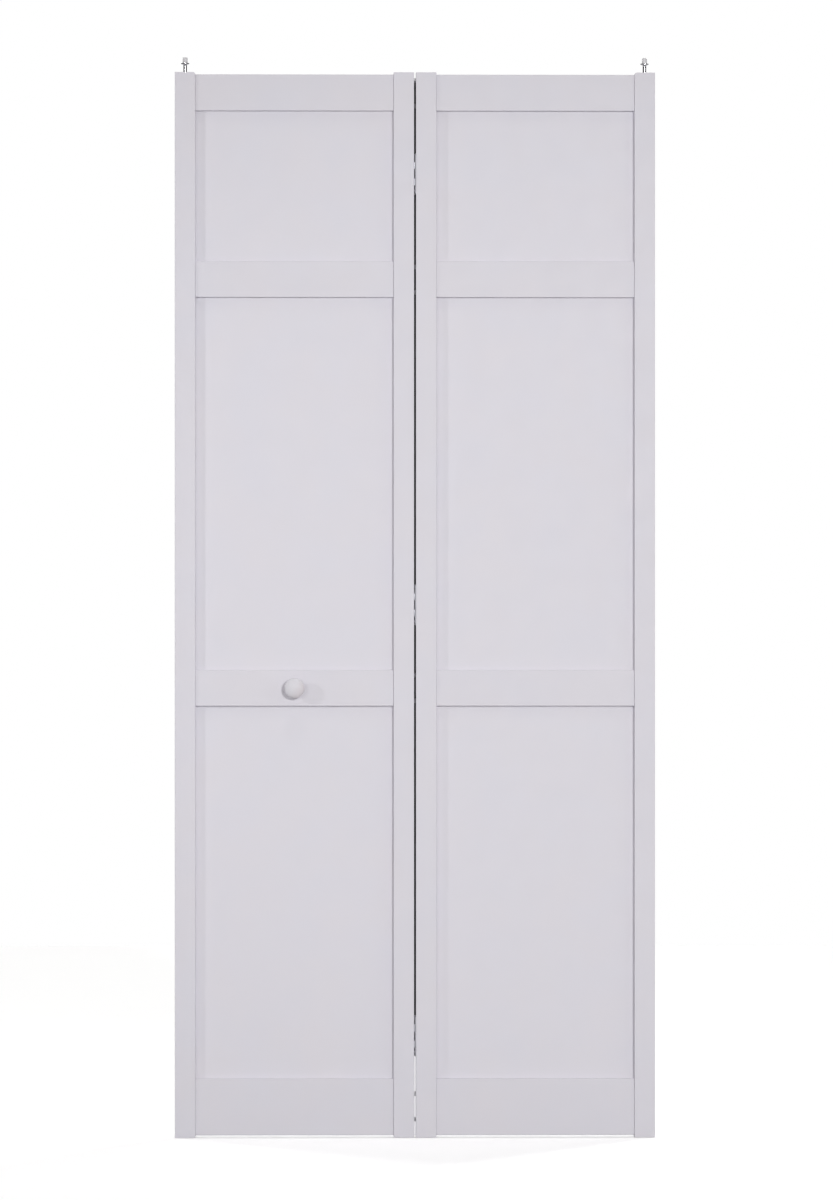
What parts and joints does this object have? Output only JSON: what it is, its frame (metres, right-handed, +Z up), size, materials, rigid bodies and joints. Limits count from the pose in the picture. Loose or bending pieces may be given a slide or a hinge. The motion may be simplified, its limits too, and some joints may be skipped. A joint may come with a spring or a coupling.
{
  "type": "bifold closet door",
  "caption": "White bifold closet door: flat panels in square-edged stiles and rails, folding hinges, sprung top pivot and track guide, bottom pivot, round knob.",
  "frame": {"origin": "on the pivot axis, at the underside of the bottom pivot's foot, which is flush with the bottom end of the pivot leaf's jamb stile", "axes": "+Z up along the pivot axis, the knob's side faces -Y, and the closed door reaches from the origin to -X"},
  "size_m": [0.9017, 0.059, 2.0285],
  "materials": {
    "door_paint": "smooth white satin film or paint with a cool cast, over engineered wood",
    "knob_paint": "matt white, slightly warmer than the door",
    "hinge_steel": "pressed steel with a dull zinc plating",
    "screw_zinc": "zinc-plated steel",
    "pin_steel": "bright zinc-plated steel",
    "spring_steel": "plain spring wire",
    "nylon": "moulded off-white nylon, satin"
  },
  "bodies": {
    "bottom_pivot": {"bottom_pivot_pin": "pin_steel"},
    "pivot_leaf": {"pivot_jamb_stile": "door_paint", "pivot_hinge_stile": "door_paint", "pivot_bottom_rail": "door_paint", "pivot_lock_rail": "door_paint", "pivot_upper_rail": "door_paint", "pivot_top_rail": "door_paint", "pivot_bottom_panel": "door_paint", "pivot_middle_panel": "door_paint", "pivot_top_panel": "door_paint", "pivot_rail_screw_1": "screw_zinc", "pivot_rail_screw_2": "screw_zinc", "pivot_rail_screw_3": "screw_zinc", "pivot_rail_screw_4": "screw_zinc", "pivot_rail_screw_5": "screw_zinc", "pivot_rail_screw_6": "screw_zinc", "pivot_rail_screw_7": "screw_zinc", "pivot_rail_screw_8": "screw_zinc", "hinge_1_full_plate": "hinge_steel", "hinge_2_full_plate": "hinge_steel", "hinge_3_full_plate": "hinge_steel", "hinge_1_pin": "hinge_steel", "hinge_2_pin": "hinge_steel", "hinge_3_pin": "hinge_steel", "top_pivot_sleeve": "nylon", "top_pivot_spring": "spring_steel", "bottom_pivot_socket": "nylon"},
    "lead_leaf": {"lead_jamb_stile": "door_paint", "lead_hinge_stile": "door_paint", "lead_bottom_rail": "door_paint", "lead_lock_rail": "door_paint", "lead_upper_rail": "door_paint", "lead_top_rail": "door_paint", "lead_bottom_panel": "door_paint", "lead_middle_panel": "door_paint", "lead_top_panel": "door_paint", "lead_rail_screw_1": "screw_zinc", "lead_rail_screw_2": "screw_zinc", "lead_rail_screw_3": "screw_zinc", "lead_rail_screw_4": "screw_zinc", "lead_rail_screw_5": "screw_zinc", "lead_rail_screw_6": "screw_zinc", "lead_rail_screw_7": "screw_zinc", "lead_rail_screw_8": "screw_zinc", "hinge_1_lobed_plate": "hinge_steel", "hinge_2_lobed_plate": "hinge_steel", "hinge_3_lobed_plate": "hinge_steel", "knob": "knob_paint", "knob_screw": "screw_zinc", "guide_sleeve": "nylon", "guide_spring": "spring_steel"},
    "top_pivot": {"top_pivot_pin": "pin_steel"},
    "top_pivot_tip": {"top_pivot_tip": "nylon"},
    "guide": {"guide_pin": "pin_steel"},
    "guide_roller": {"guide_roller": "nylon"}
  },
  "joints": [
    {"name": "door_swing", "type": "hinge", "parent": "bottom_pivot", "child": "pivot_leaf", "pos_m": [0, 0, 0], "axis": [0, 0, 1], "range_deg": [0, 88]},
    {"name": "leaf_fold", "type": "hinge", "parent": "pivot_leaf", "child": "lead_leaf", "pos_m": [-0.43185, 0.0179, 1], "axis": [0, 0, 1], "range_deg": [-176, 0]},
    {"name": "top_pivot_press", "type": "slide", "parent": "pivot_leaf", "child": "top_pivot", "axis": [0, 0, 1], "range_m": [-0.012, 0], "stiffness_N_per_m": 500, "springref_m": 0.006, "deforming": ["top_pivot_spring"]},
    {"name": "top_pivot_turn", "type": "hinge", "parent": "top_pivot", "child": "top_pivot_tip", "pos_m": [0, 0, 2.0179], "axis": [0, 0, 1], "continuous": true},
    {"name": "guide_press", "type": "slide", "parent": "lead_leaf", "child": "guide", "axis": [0, 0, 1], "range_m": [-0.012, 0], "stiffness_N_per_m": 500, "springref_m": 0.006, "deforming": ["guide_spring"]},
    {"name": "guide_roller_turn", "type": "hinge", "parent": "guide", "child": "guide_roller", "pos_m": [-0.8637, 0, 2.0179], "axis": [0, 0, 1], "continuous": true}
  ],
  "couplings": [
    {"joint": "leaf_fold", "follows": "door_swing", "ratio": -2}
  ]
}
